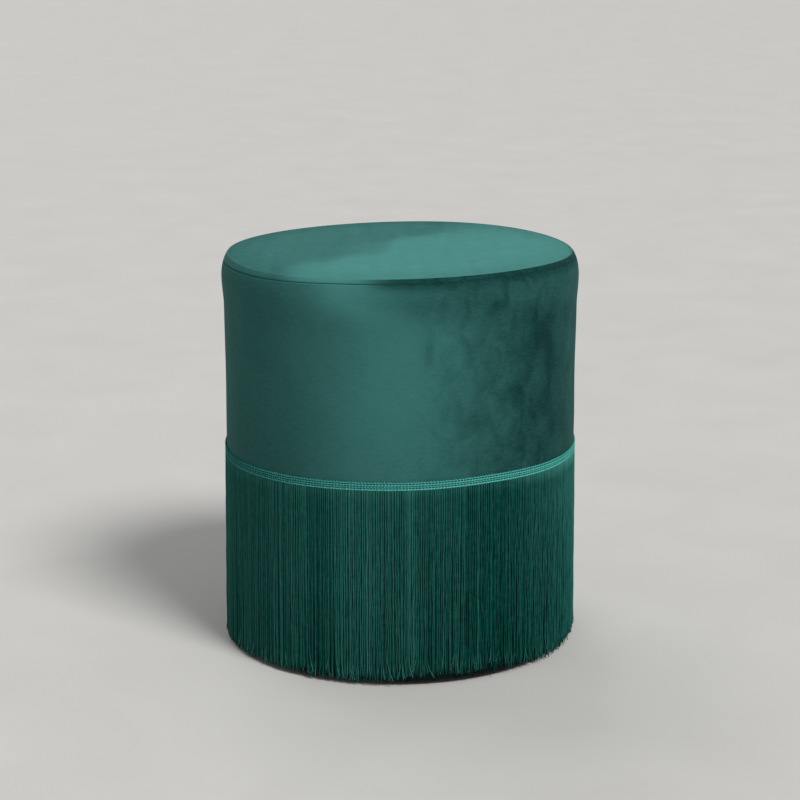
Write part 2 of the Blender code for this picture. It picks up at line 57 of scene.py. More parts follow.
# Sizes that the solids give
SIDE_LOW, SIDE_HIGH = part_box("velvet_side_panel")
HEADING_LOW, HEADING_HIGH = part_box("fringe_heading")
CLOTH_LOW, CLOTH_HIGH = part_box("dust_cover")
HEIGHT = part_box("velvet_top_panel")[1].z
RIM = SIDE_HIGH.z
HEM_BOTTOM = SIDE_LOW.z
FULLEST_RADIUS = SIDE_HIGH.x

# Cover, as in the solids
BODY_RADIUS = 0.188
VELVET = 0.0014
SWELL_LENGTH = 0.034
CROWN_FLAT_RADIUS = 0.060
SHOULDER_WIDTH = 0.012
SHOULDER_HEIGHT = 0.026
RIM_ANGLE = 65.0
STITCH_DROP = 0.0055
HEM_WIDTH = 0.045
CROWN = HEIGHT - RIM
FULLEST = RIM - SHOULDER_HEIGHT * math.sin(math.radians(RIM_ANGLE))
SWELL_START = FULLEST - SWELL_LENGTH

# Rolled edge, seams and folds of the cover
HEM_FOLD = 0.003
LIP_ANGLE = 63.5  # where the rolled edge leaves the shoulder's ellipse
LIP_OUTER_RADIUS = 0.0012
LIP_INNER_RADIUS = 0.0009
LIP_FLAT = 0.0004
LIP_TURN = 170.0
LIP_RISE = ((-72, 18, 0.0009),)
LIP_RISE_DEPTH = 0.004  # how far under the rim that rise begins
STITCH_GROOVE = 0.0006
STITCH_GROOVE_WIDTH = 0.0009
STITCH_WANDER = ((-92, 24, 0.0032), (-30, 20, -0.0008))
STITCH_WAVES = ((7, 0.0, 0.0003),)
SEAM_GAP = 0.00015
SEAT_FOLD = 0.0006
SEAT_FOLD_END = 4.0  # where its arc turns down into the seam
ALLOWANCE = 0.007
SIDE_ALLOWANCE = ((0.00005, -0.0015), (0.0008, -0.004), (0.0024, -ALLOWANCE))  # out and up from the seam
SEAT_ALLOWANCE = ((0.0, -0.0015), (0.0006, -0.004), (0.002, -ALLOWANCE))
BACK_SEAM_DEPTH = 0.0006
BACK_SEAM_WIDTH = 0.0012
BACK_SEAM_STEPS = np.linspace(-4, 4, 15)  # in widths of the seam
BACK_SEAM_FROM = (0.008, 0.012)

# Unevenness of the cover
SIDE_UNEVENNESS = 0.00035
SIDE_RIPPLE = (9, 10, 12)
SIDE_UNEVEN_FROM, SIDE_UNEVEN_TO = (0.02, 0.05), (RIM - 0.02, RIM)
SEAT_UNEVENNESS = 0.0002
SEAT_RIPPLE = (3, 12, 10)
SEAT_RIPPLE_RATE = 20  # turns metres across the seat into the ripple's angle
SEAT_EVEN_EDGE = 0.02
SEAT_PUFF = 0.0012  # how far the cloth rises under the padding's pressure
PUFF_PRESSURE = 4.0
PUFF_FRAMES = 20
LEAST_RISE = 1e-9  # so that a point that stays can be divided by its rise
SEED = 7

# How the soft seat has settled: fuller all over, up to the right and the front, down in two dips of its rim
SEAT_RISE = 0.0019
SEAT_TILT_RIGHT = 0.0021
SEAT_TILT_CURVE = 1.9  # how soon that tilt levels out
SEAT_TILT_FRONT = 0.0008
SEAT_DIPS = ((-52, 19, 0.0025), (96, 27, 0.0029))
SEAT_DIPS_FROM = (0.6 * BODY_RADIUS, 0.95 * BODY_RADIUS)

# Steps of the cover's meshes
SIDE_STEPS = 300
SHOULDER_STEPS = 60
LIP_STEPS = 6
LIP_BLEND = 4  # points of the rolled edge over which the side's nap becomes the seat's
HEM_STEPS = 5
HEM_FOLD_STEPS = 6
WALL_STEPS = (9, 24, 14)  # behind the fringe, above it and in the swell
SEAT_FOLD_STEPS = 5
SEAT_GRID = 73
ANGLE_DIGITS = 6

# Pile of the side: how far it leans towards the light, from 0 to 1
SIDE_NAP = 0.30
SIDE_NAP_FALL = 0.23  # how much less where it is turned away, right of the front
TURNED_FROM, TURNED_TO = (4, 56), (95, 150)
STREAK_AT, STREAK_WIDTH, STREAK = -4, 15, 0.22
RIM_FROM = (0.365, 0.402)
RIM_SHIFT, RIM_NARROWING, RIM_STREAK, RIM_FALL = 13, 6, 0.13, 0.25  # how streak and fall change near the rim
SIDE_STREAK = ((84, 18, 0.08),)
BACK_STREAK = ((165, 25, 0.16),)
STROKES = (12, 8, 10)
STROKE_MARK, STROKE_MARK_TURNED = 0.005, 0.010
CREASES = (40, 22, 16)
CREASE_MARK, CREASE_MARK_TURNED = 0.004, 0.018
LOW_NAP = 0.82  # share of the nap left just above the heading, darker there as painted shade
LOW_NAP_TO = (0.21, 0.31)
# the nap falls to nothing towards the hem: painted shade
HEM_SHADE_TO = (0.010, 0.045)
HEM_PAINTED_SHADE = 0.8  # how much painted shade darkens the pile by the floor
HEM_PAINTED_SHADE_TO = (0.012, 0.026)
BEHIND_FROM = (110, 150)

# Places where the side's pile was pressed: angle, width, height, tallness, how much it leans away
PRESSED = (
    (9, 0.9, 0.351, 0.011, 0.17),
    (5, 2.6, 0.391, 0.006, 0.05),
    (54, 8, 0.354, 0.018, 0.045),
    (45, 4, 0.275, 0.010, 0.05),
    (56, 5, 0.190, 0.012, 0.05),
    (28, 3, 0.200, 0.014, 0.05),
    (23, 9, 0.295, 0.035, 0.05),
    (50, 6, 0.310, 0.030, 0.04),
)

# Pile by the rim: in painted shade under the rim at the right, brushed over from the seat at the left, in
# lengths above the stitches
RIM_SHADE = 0.8
RIM_SHADE_FROM = (-14, -1)
RIM_SHADE_REACH = (-0.011, 0.001)
BRUSHED_FROM, BRUSHED_TO = (9, 22), (150, 180)  # to the left of the front
BRUSHED_REACH = (-0.0025, 0.0015)
# painted highlight on the rolled edge at the left
LIP_PAINTED_HIGHLIGHT = ((-68, 14, 0.16),)

# How crushed the pile is, from 0 to 1: left of the front, right of it, at the back, and on the seat
CRUSHED_LEFT, CRUSHED_RIGHT, CRUSHED_BACK, CRUSHED_SEAT = 0.15, 1.0, 0.4, 0.45
CRUSHED_FROM = (1, 14)
CRUSHED_EASING = 0.6  # how much less towards the right side
CRUSHED_EASING_FROM = (36, 58)

# Pile of the seat, with places in body radii to the right and to the back
SEAT_NAP = (0.50, 0.84)  # behind the border across the seat, and before it
BORDER_AT = (-0.12, 0.03)
BORDER_ACROSS = (0.85, -0.526)
BORDER_WAVES_RIGHT, BORDER_WAVES_BACK = ((23, 1.0, 0.03),), ((9, 0.0, 0.05),)
BORDER_FROM = (-0.14, 0.16)
SEAT_BACK_FALL = 0.45
SEAT_BACK_FROM = (0.1, 0.8)
SEAT_DRAG = 0.011
SEAT_DRAG_RATES = (29, 47, 71)  # waves across the seat
SEAT_DRAG_BEND, SEAT_DRAG_BENDS = 2, 3
SEAT_PRESSED = (0.29, 0.09, 0.75, 0.2, 0.10)  # right, width, back, length, how much it leans away
SEAT_EDGE_FALL = 0.095
SEAT_EDGE_FALLS = ((35, 22, 0.05),)
SEAT_EDGE_FROM = 0.7 * BODY_RADIUS

# Stitches under the rolled edge
STITCH_PITCH = 0.0034
STITCH_LENGTH = 0.0031
STITCH_RADIUS = 0.0003
STITCH_SINK = 0.0003
STITCH_RINGS = 5
STITCH_SIDES = 6
STITCH_SHADES = (0.2, 0.8)

# Padding under the velvet
PAD_CORNER = 0.002
PAD_AXIS = 0.0006  # radius of the small flat that closes a turned pad on the axis
PAD_STEPS = 96
PAD_UNEVENNESS = 0.0003
PAD_RIPPLE = (12, 20, 12)
PAD_UNEVEN_FROM = (0.01, 0.05)
FOAM_INSET = 3 * VELVET
FOAM_ROUND = (0.024, 0.016)  # width and height of the seat foam's rounded edge
FOAM_CORNER_STEPS, FOAM_ROUND_STEPS = 5, 10
WADDING_STEPS, WADDING_EDGE_STEPS = 12, 9
SIDE_FOAM_FACES = (0.0063, 0.0003)  # how far inside the velvet its inner and outer faces lie
SIDE_FOAM_CORNER_STEPS = 4

# Braided heading
HEADING_ROWS = 4
HEADING_OUT = 0.0007  # from the velvet to the middle of the cords
HEADING_WAVES = ((3, 0.5, 0.0003), (7, 2.0, 0.00018))
HEADING_DRIFT = ((-70, 27, -0.0052), (27, 13, 0.0020))
HEADING_LEAN = ((16, 9, 0.0009),)
CORD_STRANDS = 2
CORD_LAY = 0.0033  # one full twist of a cord
CORD_STEPS = 6  # rings to a twist
CORD_SIDES = 5
STRAND_RADIUS = 0.00056
STRAND_OFFSET = 0.0005
# FACING_SHADE paints light on the strands' outer sides and shade on their inner sides
CORD_SHADE, STRAND_SHADE, LOWEST_ROW_SHADE, FACING_SHADE = 0.18, 0.44, 0.15, 0.12
# painted light and shade on the heading: lighter at the front, darker at the left and a little darker at the
# right
HEADING_PAINTED_LIGHT = ((15, 40, 0.15), (-78, 36, -0.36), (84, 20, -0.10))

# Ends of yarn above the heading
YARN_END_PITCH = 0.0021
YARN_END_JITTER = 0.3  # of the space between two ends
YARN_END_RADIUS = 0.0003
YARN_END_TAPER = 0.4
YARN_END_HEIGHT = 0.0011
YARN_END_HEIGHTS = (0.3, 1.2)  # shares of it, at least and at most
YARN_END_SHORTER, YARN_END_TALLER = 0.5, ((8, 25, 0.8),)
YARN_END_LEAN = 0.0004
YARN_END_OUT = 0.0004
YARN_END_RINGS = 4
YARN_END_SIDES = 4
YARN_END_SHADES = (0.0, 0.6)

# Fringe, whose layers have: count of threads, distance from the velvet at the root and at the end, shade
LAYERS = {
    "fringe_inner": (700, 0.0003, 0.0014, 0.07),
    "fringe_middle": (560, 0.0006, 0.0021, 0.15),
    "fringe_outer": (500, 0.0009, 0.0028, 0.26),
}
THREAD_RADIUS = 0.00053
THREAD_RADII = (0.8, 1.2)  # shares of it, at least and at most
THREAD_TAPER = 0.3
THREAD_SHARES = (0.0, 0.03, 0.085, *np.linspace(0.12, 0.91, 22), 0.96, 1.0)  # of its length, for its rings
THREAD_SIDES = 5
THREAD_JITTER = 0.2  # of the space between two threads
ROOT_ABOVE = 0.0055  # how far the threads run up behind the heading
TIP_FROM = (0.93, 1.0)  # of a thread's length, like the other shares here
END_HEIGHT = 0.0078
END_WAVES = ((5, 0.0, 0.0007), (11, math.radians(40), 0.0006))
END_UNEVENNESS = ((20, 18, 0.0050), (-30, 14, -0.0010), (-70, 12, -0.0072), (57, 12, -0.0020))
END_SPREAD = 0.0022
END_CLUMP = 0.0006
LOWEST_END = 0.0015
CLUMP = 0.0008
CLUMP_RIPPLE = (90, 0, 14)
LEAN = 0.0009
LEAN_CURVE = 1.3
OUT_CURVE = 0.8
WAVE = 0.00035
WAVES = (0.6, 1.8)  # along a thread, at least and at most
KINK = 0.00028
KINKS = (3.0, 7.0)
KINK_FROM = (0.03, 0.25)
KINK_OUT = 0.5  # share of waves and kinks that also goes outward
SPLAY = 0.0007
SPLAY_OUT = 0.4
CURLED_SHARE = 0.18
CURL = 0.0030
DEPTH = 0.0003
DEPTH_RIPPLE = (60, 0, 10)

# Shades of the threads
SHADE_SPREAD = 0.05
SHADE_CLUMP = 0.02
SHADE_PATCH = 0.02
PATCH_RIPPLE = (22, 0, 10)
# the hump at 31 degrees is painted shade and the broad one at -40 painted light; those at -9.7 and 2.7 are
# pale bundles of threads lying flat
PATCHES = (
    (-40, 40, 0.04),
    (31, 14, -0.13),
    (-29, 6, -0.04),
    (-56, 9, 0.04),
    (-9.7, 0.6, 0.13),
    (2.7, 0.7, 0.10),
)
BRIGHT_SHARE, BRIGHT_SHADE = 0.05, 0.10
CURLED_TIP_SHADE, TIP_SHADE = 0.62, 0.08
ROOT_SHADE = 0.14  # threads are lighter just under the heading
ROOT_SHADES = ((68, 18, 2.6),)  # how many times more, as painted light at the right
ROOT_SHADE_TO = (0.02, 0.085)
# painted light on the threads' upper part at the right
UPPER_SHADE = ((70, 14, 0.08),)
UPPER_SHADE_TO = (0.12, 0.6)
END_SHADE = -0.045
END_SHADE_FROM = (0.4, 0.9)

# Cloth under the base
CLOTH_SAG = 0.0008
CLOTH_PUCKER = 0.0003
CLOTH_STAPLES = 12
PUCKER_FROM, PUCKER_TO = (0.6, 0.95), (0.95, 1.0)  # shares of the cloth's radius
CLOTH_RINGS = 26
CLOTH_STEPS = 144

# Textures of the materials: sizes in millimetres, stretches, strengths, roughness at both ends and colours
MARKS_MM, MARKS_STRETCH, MARKS = 17, (1, 1, 0.7), 0.085
ROWS_MM, ROWS_STRETCH, ROWS = 1.7, (0.2, 0.2, 1), 0.026
TUFTS_MM, TUFTS = 1.6, 0.03
TUFT_RELIEF = (0.2, 0.5)  # strength, and depth in millimetres
VELVET_ROUGH = (0.92, 0.78)
# the last of these colours is painted shade along the hem
PILE_AWAY, PILE_TOWARDS, PILE_PAINTED_SHADE = "0f3734", "539993", "040a0a"
YARN_STREAKS = 0.06
YARN_RELIEF = (0.3, 0.3)
YARN_ROUGH = (0.45, 0.65)
GRAIN_RELIEF = 0.4
CELL_RELIEF = 0.5
CELL_RANGE = (0.1, 0.6)  # distances in a cell between which its colour changes

# Floor, light and camera
CAMERA_PLACE = (0.0, -2.186, 0.802)
CAMERA_PITCH = 14.03  # below level
CAMERA_LENS = 93.6
FLOOR_SIZE = 40.0
LAMPS = {  # angle, height above level, strength and softness, with the angles in degrees
    "key": (40, 50, 2.2, 20),
    "back_fill": (-150, 50, 0.5, 40),
}
LAMP_DISTANCE = 3.0
SKY = "f4f6f8"
WORLD_STRENGTH = 0.30
BACKDROP = "cac9c5"  # the lit floor's own colour, where the floor ends

rng = np.random.default_rng(SEED)


# Helpers for shapes


def around(radius, angle, height):
    """Points at a radius, an angle from the front in radians and a height."""
    radius, angle, height = np.broadcast_arrays(radius, angle, height)
    return np.stack([radius * np.sin(angle), -radius * np.cos(angle), height], axis=-1)


def smooth_step(value, low, high):
    """0 below low, 1 above high, and 3t^2 - 2t^3 between."""
    share = np.clip((value - low) / (high - low), 0, 1)
    return share * share * (3 - 2 * share)


def between(value, rise, fall):
    """0, up to 1 across the first pair of values, and down to 0 again across the second."""
    return smooth_step(value, *rise) * (1 - smooth_step(value, *fall))


def bell(value, centre, width):
    """A bell curve: e to the minus half the square of the distance in widths, past the half turn too."""
    apart = (value - centre + 180) % 360 - 180
    return np.exp(-0.5 * (apart / width) ** 2)


def humps(degrees, table):
    """A sum of bell curves."""
    return sum(amount * bell(degrees, at, width) for at, width, amount in table)


def waves(angle, table):
    """A sum of sines."""
    return sum(tall * np.sin(count * angle + start) for count, start, tall in table)


def ripple(angle, height, turns, per_metre, count):
    """Even noise, from -1 to 1 or so: a sum of cosines with whole turns round the stool and random phases."""
    total = 0.0
    for _ in range(count):
        round_it = rng.integers(1, turns + 1)
        upward = rng.uniform(-per_metre, per_metre) * 2 * np.pi
        total = total + np.cos(round_it * angle + upward * height + rng.uniform(0, 2 * np.pi))
    return total / math.sqrt(count)


def arc(centre, radii, start, end, steps):
    """(radius, height) points of a circle's or an ellipse's arc, between two angles in degrees."""
    turn = np.radians(np.linspace(start, end, steps))
    return np.array(centre) + np.stack([np.cos(turn), np.sin(turn)], axis=1) * radii


def path_length(points):
    return float(np.linalg.norm(np.diff(points, axis=0), axis=1).sum())


def grid_faces(index):
    """Four-sided faces between the neighbours in a grid of point numbers."""
    corners = [index[:-1, :-1], index[1:, :-1], index[1:, 1:], index[:-1, 1:]]
    return np.stack(corners, axis=-1).reshape(-1, 4).tolist()


def closed_round(index):
    """The same grid with its first row again at its end."""
    return np.concatenate([index, index[:1]])


def numbers(*shape):
    return np.arange(math.prod(shape)).reshape(shape)


def add_piece(name, points, faces, slot, **attributes):
    """A smooth mesh on the stool, in its slot's material. Each attribute has one value per point."""
    mesh = bpy.data.meshes.new(name)
    mesh.from_pydata(np.reshape(points, (-1, 3)).tolist(), [], faces)
    mesh.shade_smooth()
    mesh.materials.append(FINISHES[slot])
    for key, values in attributes.items():
        layer = mesh.attributes.new(key, "FLOAT", "POINT")
        layer.data.foreach_set("value", np.ravel(values).astype(np.float32))
    piece = bpy.data.objects.new(name, mesh)
    bpy.context.scene.collection.objects.link(piece)
    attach(piece, "root")
    return piece


def tubes(paths, radius, sides, outward, closed=False):
    """Round profiles carried along paths. Each ring is square to its path and starts on its outward side."""
    if closed:
        along = np.roll(paths, -1, axis=1) - np.roll(paths, 1, axis=1)
    else:
        along = np.gradient(paths, axis=1)
    along = along / np.linalg.norm(along, axis=-1, keepdims=True)
    first = outward - along * np.sum(outward * along, axis=-1, keepdims=True)
    first = first / np.linalg.norm(first, axis=-1, keepdims=True)
    second = np.cross(along, first)
    turn = 2 * np.pi * np.arange(sides)[:, None] / sides
    ring = first[:, :, None] * np.cos(turn) + second[:, :, None] * np.sin(turn)
    width = np.broadcast_to(radius, paths.shape[:2])[:, :, None, None]
    return paths[:, :, None] + width * ring


def tube_faces(count, rings, sides, closed=False):
    """The walls of such tubes, and a cap on each end unless they close on themselves."""
    index = numbers(count, rings, sides)
    here = index if closed else index[:, :-1]
    ahead = np.roll(index, -1, axis=1) if closed else index[:, 1:]
    walls = np.stack([here, np.roll(here, -1, axis=2), np.roll(ahead, -1, axis=2), ahead], axis=-1)
    faces = walls.reshape(-1, 4).tolist()
    if not closed:
        faces += index[:, 0, ::-1].tolist() + index[:, -1].tolist()
    return faces


def solidify(piece, thickness):
    modifier = piece.modifiers.new("cloth_thickness", "SOLIDIFY")
    modifier.thickness = thickness
    modifier.offset = -1.0


def subdivide(piece):
    modifier = piece.modifiers.new("smooth_cloth", "SUBSURF")
    modifier.levels = 1
    modifier.render_levels = 1


# Helpers for materials

MIX_FACTOR, MIX_FROM, MIX_TO, MIX_RESULT = 0, 6, 7, 2  # sockets of a Mix node that mixes colours
NOISE_RANGE = (0.3, 0.7)  # values between which nearly all of a noise texture lies
MILLIMETRES = 1000.0  # in a metre


def linear(hex_colour):
    """An sRGB hex colour as linear values, by the standard's own curve."""
    channels = np.array([int(hex_colour[i : i + 2], 16) for i in (0, 2, 4)]) / 255
    curve = np.where(channels <= 0.04045, channels / 12.92, ((channels + 0.055) / 1.055) ** 2.4)
    return (*curve.tolist(), 1.0)


def add_node(tree, kind, inputs=(), **settings):
    """A node with its settings. Each input is a value, or the socket that feeds it."""
    made = tree.nodes.new(kind)
    for key, value in settings.items():
        setattr(made, key, value)
    for key, value in dict(inputs).items():
        if isinstance(value, bpy.types.NodeSocket):
            tree.links.new(value, made.inputs[key])
        else:
            made.inputs[key].default_value = value
    return made


def new_material(name, constants):
    """A material with constant values on its shader's own sockets."""
    made = bpy.data.materials.new(name)
    made.use_nodes = True
    shader = made.node_tree.nodes["Principled BSDF"]
    for key, value in constants.items():
        shader.inputs[key].default_value = value
    return made, made.node_tree, shader


def attribute(tree, name):
    return add_node(tree, "ShaderNodeAttribute", attribute_name=name).outputs["Fac"]


def own_place(tree, stretch=(1, 1, 1)):
    """The object's own coordinates in metres. A texture is drawn out along an axis with a low value."""
    place = add_node(tree, "ShaderNodeTexCoord").outputs["Object"]
    return add_node(tree, "ShaderNodeMapping", {"Vector": place, "Scale": stretch}).outputs[0]


def noise(tree, place, size_mm, **more):
    """Noise with features of a real size."""
    inputs = {"Vector": place, "Scale": MILLIMETRES / size_mm, **more}
    return add_node(tree, "ShaderNodeTexNoise", inputs).outputs["Fac"]


def ranged(tree, value, low, high, start=0.0, end=1.0):
    """A value that goes from low to high while its source goes from start to end."""
    inputs = {"Value": value, "From Min": start, "From Max": end, "To Min": low, "To Max": high}
    return add_node(tree, "ShaderNodeMapRange", inputs).outputs[0]


def mixed(tree, share, first, second):
    """A colour between two."""
    inputs = {MIX_FACTOR: share, MIX_FROM: first, MIX_TO: second}
    return add_node(tree, "ShaderNodeMix", inputs, data_type="RGBA").outputs[MIX_RESULT]


def wire(tree, shader, colour, rough, height, strength, relief_mm):
    """Feeds the shader its colour, its roughness and a low relief."""
    inputs = {"Height": height, "Strength": strength, "Distance": relief_mm / MILLIMETRES}
    relief = add_node(tree, "ShaderNodeBump", inputs).outputs[0]
    for key, socket in {"Base Color": colour, "Roughness": rough, "Normal": relief}.items():
        tree.links.new(socket, shader.inputs[key])


# Materials


def green_velvet():
    """Cut-pile velvet: matt, lighter where the nap leans towards the light, marked where it is crushed and
    darkened along the hem as painted shade, with faint rows of pile and a sheen at grazing angles. Its tufts
    and rows, a third of a millimetre across, are drawn five times coarser so that they show."""
    made, tree, shader = new_material(
        "green_velvet",
        {
            "Sheen Weight": 0.09,
            "Sheen Roughness": 0.35,
            "Sheen Tint": linear("a3c4be"),
            "Specular IOR Level": 0.06,
        },
    )
    marks = noise(tree, own_place(tree, MARKS_STRETCH), MARKS_MM, Detail=5.0, Roughness=0.6, Distortion=0.5)
    rows = noise(tree, own_place(tree, ROWS_STRETCH), ROWS_MM, Detail=1.0)
    pile = noise(tree, own_place(tree), TUFTS_MM, Detail=2.0)
    crushed = attribute(tree, "crushed")
    light = attribute(tree, "nap")
    for texture, strength, share in ((marks, MARKS, crushed), (rows, ROWS, 1.0), (pile, TUFTS, 1.0)):
        added = {0: ranged(tree, texture, -strength, strength, *NOISE_RANGE), 1: share, 2: light}
        light = add_node(tree, "ShaderNodeMath", added, operation="MULTIPLY_ADD").outputs[0]
    unshaded = mixed(tree, light, linear(PILE_AWAY), linear(PILE_TOWARDS))
    # painted shade along the hem, mixed over the pile's own colour
    colour = mixed(tree, attribute(tree, "painted_hem_shade"), unshaded, linear(PILE_PAINTED_SHADE))
    wire(tree, shader, colour, ranged(tree, light, *VELVET_ROUGH), pile, *TUFT_RELIEF)
    return made


def yarn(name, dark, light, fibre_mm):
    """Spun yarn: hardly shiny, each thread a shade of its own, streaked by its fibres."""
    made, tree, shader = new_material(name, {"Specular IOR Level": 0.02})
    fibres = noise(tree, own_place(tree), fibre_mm, Detail=2.0)
    streaks = ranged(tree, fibres, -YARN_STREAKS, YARN_STREAKS, *NOISE_RANGE)
    added = {0: attribute(tree, "shade"), 1: streaks}
    tone = add_node(tree, "ShaderNodeMath", added, operation="ADD", use_clamp=True).outputs[0]
    colour = mixed(tree, tone, linear(dark), linear(light))
    wire(tree, shader, colour, ranged(tree, fibres, *YARN_ROUGH), fibres, *YARN_RELIEF)
    return made


def mottled(name, dark, light, size_mm, rough, relief_mm, stretch=(1, 1, 1), metallic=0.0):
    """Two colours that noise mixes, drawn out along its grain, with that noise as a low relief."""
    made, tree, shader = new_material(name, {"Metallic": metallic})
    grain = noise(tree, own_place(tree, stretch), size_mm, Detail=5.0, Distortion=0.8)
    share = ranged(tree, grain, 0.0, 1.0, *NOISE_RANGE)
    colour = mixed(tree, share, linear(dark), linear(light))
    wire(tree, shader, colour, ranged(tree, share, *rough), share, GRAIN_RELIEF, relief_mm)
    return made


def cellular(name, hollow, wall, size_mm, rough, relief_mm):
    """A surface of small cells, by distance from scattered points."""
    made, tree, shader = new_material(name, {})
    inputs = {"Vector": own_place(tree), "Scale": MILLIMETRES / size_mm}
    distance = add_node(tree, "ShaderNodeTexVoronoi", inputs).outputs["Distance"]
    share = ranged(tree, distance, 0.0, 1.0, *CELL_RANGE)
    colour = mixed(tree, share, linear(hollow), linear(wall))
    wire(tree, shader, colour, ranged(tree, share, *rough), share, CELL_RELIEF, relief_mm)
    return made


FINISHES = {
    "velvet": green_velvet(),
    # loosely spun rayon: deep green and nearly matt
    "fringe_yarn": yarn("green_rayon_yarn", "004039", "4a948a", 6),
    # tightly plaited rayon: brighter, because its strands face the light at every angle
    "braid_yarn": yarn("green_rayon_braid", "165f58", "68d2c8", 2),
    # polyester sewing thread: thin and dark in its groove
    "sewing_thread": yarn("green_polyester_thread", "173f3a", "2a5f58", 1),
    # rotary-cut birch: long pale figure along one way
    "plywood": mottled("birch_plywood", "b98f5c", "d6b687", 9, (0.55, 0.75), 0.1, (0.12, 1, 1)),
    # planed softwood: grain along the batten
    "pine": mottled("planed_pine", "c89b62", "e3c796", 5, (0.5, 0.7), 0.1, (1, 1, 0.06)),
    # pressed brown fibre: fine speckle
    "hardboard": mottled("pressed_hardboard", "5d4128", "86643f", 1.5, (0.6, 0.85), 0.1),
    # open-cell foam: pores about a millimetre across
    "foam": cellular("polyurethane_foam", "c7b98f", "efe4c4", 1.4, (0.85, 0.95), 0.3),
    # carded white fibre: cloudy and matt
    "wadding": mottled("polyester_wadding", "dcdcd8", "f4f4f2", 4, (0.9, 1.0), 0.6),
    # thermally bonded black cloth: dull, with small dimples
    "dust_cloth": cellular("spunbond_cloth", "0d0e10", "1b1c1e", 1.8, (0.75, 0.95), 0.12),
    # injection-moulded black plastic: fine spark-eroded grain
    "black_plastic": mottled("moulded_polypropylene", "101112", "1b1c1d", 0.8, (0.4, 0.55), 0.03),
    # bright zinc plating: faint clouding
    "steel": mottled("zinc_plated_steel", "9ea2a6", "c9ccd0", 1.2, (0.25, 0.42), 0.01, metallic=1.0),
}

for part in frame["record"]["subparts"]:
    solid = frame["nodes"][part["node"]]
    solid.data.materials.clear()
    solid.data.materials.append(FINISHES[part["material_slot"]])


# Velvet cover


def side_radius(height):
    """Outside radius of the drum: straight, then easing out to the widest ring along half a cosine."""
    share = np.clip((FULLEST - height) / SWELL_LENGTH, 0, 1)
    return BODY_RADIUS + (FULLEST_RADIUS - BODY_RADIUS) * 0.5 * (1 + np.cos(np.pi * share))


def crown_fall(radius, edge):
    """How far the seat lies under its middle: flat, then falling to its edge as a cube."""
    return CROWN * np.clip((radius - CROWN_FLAT_RADIUS) / (edge - CROWN_FLAT_RADIUS), 0, 1) ** 3


def shoulder(degrees):
    """Points and outward normals of the ellipse that rounds the seat's edge."""
    turn = np.radians(degrees)
    across, up = np.cos(turn), np.sin(turn)
    radius = FULLEST_RADIUS + SHOULDER_WIDTH * (across - 1)
    points = np.stack([radius, FULLEST + SHOULDER_HEIGHT * up], axis=-1)
    normals = np.stack([SHOULDER_HEIGHT * across, SHOULDER_WIDTH * up], axis=-1)
    return points, normals / np.linalg.norm(normals, axis=-1, keepdims=True)


SHOULDER, SHOULDER_NORMALS = shoulder(np.linspace(0, LIP_ANGLE, SHOULDER_STEPS))
SHOULDER_LENGTHS = np.linalg.norm(np.diff(SHOULDER, axis=0), axis=1)
TO_RIM = SHOULDER_LENGTHS.sum() - np.concatenate([[0.0], np.cumsum(SHOULDER_LENGTHS)])


def stitch_drop(angle):
    """Length from the rim down to the stitches: even, but lower at the left end and nearer the rim just left
    of the front."""
    return STITCH_DROP + humps(np.degrees(angle), STITCH_WANDER) + waves(angle, STITCH_WAVES)


def lip_outline():
    """The rolled edge: over the top in a small arc, a short flat, a smaller arc, then down into the seam."""
    start, normal = SHOULDER[-1], SHOULDER_NORMALS[-1]
    outer = start - LIP_OUTER_RADIUS * normal
    inner = outer + np.array([-LIP_FLAT, LIP_OUTER_RADIUS - LIP_INNER_RADIUS])
    first = math.degrees(math.atan2(normal[1], normal[0]))
    over = arc(outer, LIP_OUTER_RADIUS, first, 90, LIP_STEPS)[1:]
    back = arc(inner, LIP_INNER_RADIUS, 90, LIP_TURN, LIP_STEPS)
    return np.concatenate([over, back, back[-1] + np.array(SIDE_ALLOWANCE)])


LIP = lip_outline()
SEAM_RADIUS = float(LIP[:, 0].min())
SEAT_EDGE = SEAM_RADIUS - SEAM_GAP - SEAT_FOLD


def drum_outline():
    """The side panel's outer face from the hem's cut edge, round the fold and up to the widest ring."""
    turn = BODY_RADIUS - HEM_FOLD
    hem = np.linspace([BODY_RADIUS - HEM_WIDTH, HEM_BOTTOM], [turn, HEM_BOTTOM], HEM_STEPS)
    fold = arc((turn, HEM_BOTTOM + HEM_FOLD), HEM_FOLD, -90, 0, HEM_FOLD_STEPS)[1:]
    levels = (HEM_BOTTOM + HEM_FOLD, HEADING_LOW.z, SWELL_START, FULLEST)
    heights = [np.linspace(low, high, steps)[1:] for low, high, steps in zip(levels, levels[1:], WALL_STEPS)]
    heights = np.concatenate(heights)[:-1]
    wall = np.stack([side_radius(heights), heights], axis=1)
    return np.concatenate([hem, fold, wall])


def settle(points):
    """The points moved up or down with the soft seat: fully at the rim, and not at all under the swell."""
    x, y, z = np.moveaxis(points, -1, 0)
    dips = humps(np.degrees(np.arctan2(x, -y)), SEAT_DIPS) * smooth_step(np.hypot(x, y), *SEAT_DIPS_FROM)
    tilt = SEAT_TILT_RIGHT * np.sin(SEAT_TILT_CURVE * x / BODY_RADIUS) - SEAT_TILT_FRONT * y / BODY_RADIUS
    shift = (SEAT_RISE + tilt - dips) * smooth_step(z, SWELL_START, RIM)
    return np.stack([x, y, z + shift], axis=-1)


